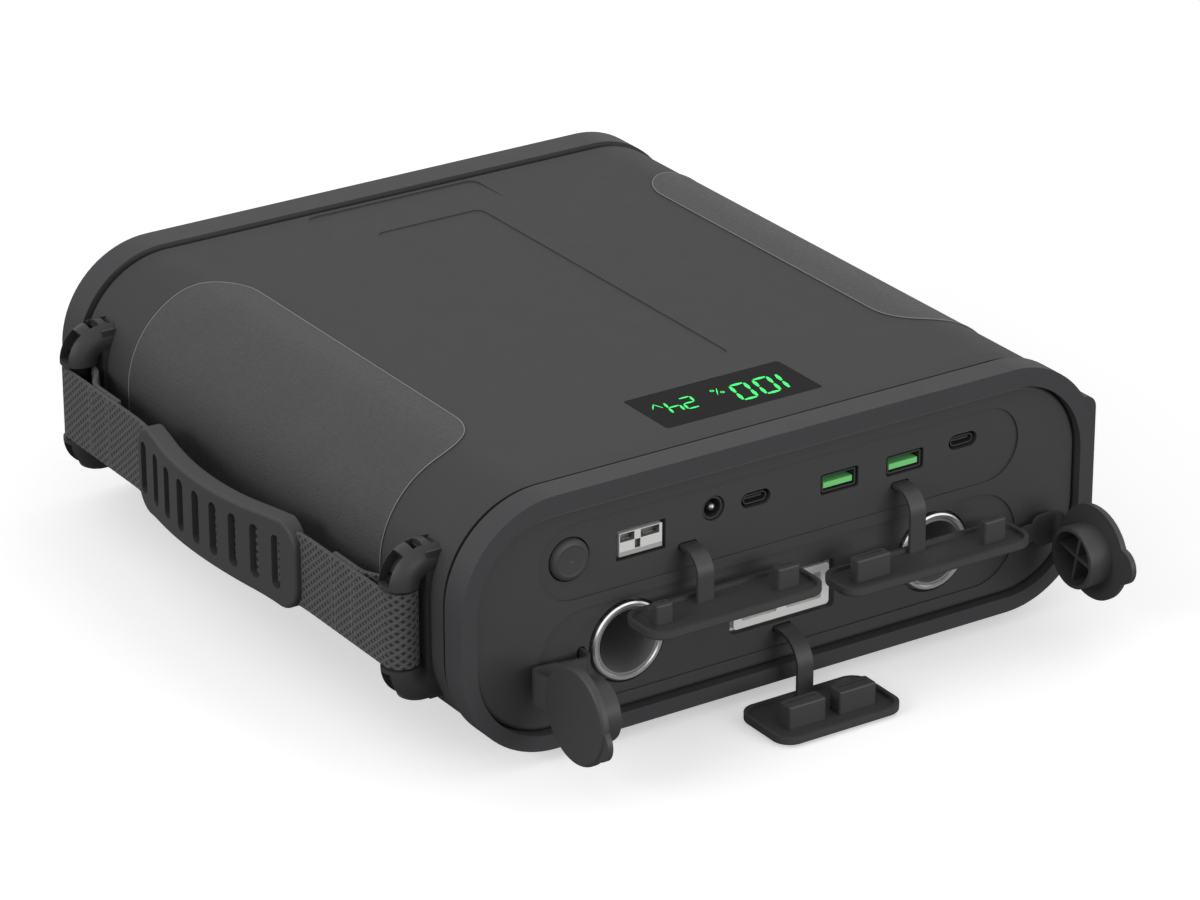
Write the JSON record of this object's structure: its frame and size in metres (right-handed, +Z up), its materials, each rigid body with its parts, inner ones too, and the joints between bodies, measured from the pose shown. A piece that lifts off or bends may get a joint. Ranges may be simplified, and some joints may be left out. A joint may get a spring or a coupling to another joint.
{
  "type": "power station",
  "caption": "Flat round-cornered portable power station with a webbing carry strap, a top display and rubber-covered ports: vehicle sockets, USB ports and direct-current connectors.",
  "frame": {"origin": "middle of the middle foot's face, on the surface that the station stands on", "axes": "+X to the right when facing the port side, +Y from the port side to the back, +Z up"},
  "size_m": [0.2649, 0.3001, 0.0908],
  "materials": {
    "sleeve_coating": "satin",
    "bezel_plastic": "matte",
    "panel_plastic": "matte",
    "bracket_plastic": "matte",
    "seal_rubber": "matte",
    "foot_rubber": "matte",
    "grained_pad": "grained",
    "webbing": "woven",
    "grip_rubber": "matte",
    "cover_rubber": "matte",
    "button_rubber": "matte",
    "black_screws": "satin",
    "bar_steel": "satin",
    "switch_plastic": "matte",
    "display_glass": "gloss",
    "display_module": "matte",
    "circuit_board": "satin",
    "grey_connector": "matte",
    "white_connector": "matte",
    "black_connector": "matte",
    "silver_contact": "plated",
    "brass_contact": "plain",
    "port_steel": "brushed",
    "green_tongue": "gloss",
    "socket_ring": "polished",
    "socket_barrel": "dark",
    "cell_case": "satin wrap",
    "tray_plastic": "matte",
    "nickel_strip": "plain",
    "foam": "matte",
    "lead_sleeve": "matte"
  },
  "bodies": {
    "case": {"body_sleeve": "sleeve_coating", "front_bezel": "bezel_plastic", "rear_bezel": "bezel_plastic", "front_gasket": "seal_rubber", "rear_gasket": "seal_rubber", "front_panel": "panel_plastic", "rear_panel": "panel_plastic", "rear_panel_screws": "black_screws", "left_pad": "grained_pad", "right_pad": "grained_pad", "rubber_feet": "foot_rubber", "front_strap_bracket": "bracket_plastic", "rear_strap_bracket": "bracket_plastic", "strap_bars": "bar_steel", "carry_strap": "webbing", "strap_grip": "grip_rubber", "button_switch": "switch_plastic", "lcd_window": "display_glass", "lcd_module": "display_module", "lcd_board": "circuit_board", "twin_connector_housings": "grey_connector", "twin_connector_contacts": "silver_contact", "dc_jack": "black_connector", "dc_jack_pin": "brass_contact", "usb_a_shells": "port_steel", "usb_a_tongues": "green_tongue", "usb_c_shells": "port_steel", "usb_c_tongues": "black_connector", "left_socket_ring": "socket_ring", "right_socket_ring": "socket_ring", "left_socket_barrel": "socket_barrel", "right_socket_barrel": "socket_barrel", "socket_bases": "black_connector", "socket_contacts": "brass_contact", "high_current_housing": "white_connector", "high_current_contacts": "silver_contact", "cover_anchors": "cover_rubber", "main_board": "circuit_board", "management_board": "circuit_board", "battery_cells": "cell_case", "lower_cell_tray": "tray_plastic", "upper_cell_tray": "tray_plastic", "cell_busbars": "nickel_strip", "battery_foam": "foam", "high_current_leads": "lead_sleeve", "socket_leads": "lead_sleeve"},
    "power_button": {"power_button": "button_rubber"},
    "dc_ports_flap": {"dc_ports_flap": "cover_rubber"},
    "usb_ports_flap": {"usb_ports_flap": "cover_rubber"},
    "high_current_flap": {"high_current_flap": "cover_rubber"},
    "left_socket_cap": {"left_socket_cap": "cover_rubber"},
    "right_socket_cap": {"right_socket_cap": "cover_rubber"}
  },
  "joints": [
    {"name": "power_button_press", "type": "slide", "parent": "case", "child": "power_button", "axis": [0, 1, 0], "range_m": [0, 0.0008]},
    {"name": "dc_ports_flap_swing", "type": "hinge", "parent": "case", "child": "dc_ports_flap", "pos_m": [-0.0365, -0.1268, 0.05975], "axis": [1, 0, 0], "range_deg": [-60, 8]},
    {"name": "usb_ports_flap_swing", "type": "hinge", "parent": "case", "child": "usb_ports_flap", "pos_m": [0.0454, -0.1268, 0.05995], "axis": [1, 0, 0], "range_deg": [-60, 8]},
    {"name": "high_current_flap_swing", "type": "hinge", "parent": "case", "child": "high_current_flap", "pos_m": [-0.0001, -0.1268, 0.02155], "axis": [1, 0, 0], "range_deg": [-50, 0]},
    {"name": "left_socket_cap_swing", "type": "hinge", "parent": "case", "child": "left_socket_cap", "pos_m": [-0.0761, -0.1268, 0.03155], "axis": [0, 0, 1], "range_deg": [0, 35]},
    {"name": "right_socket_cap_swing", "type": "hinge", "parent": "case", "child": "right_socket_cap", "pos_m": [0.0761, -0.1268, 0.03155], "axis": [0, 0, -1], "range_deg": [0, 25]}
  ]
}
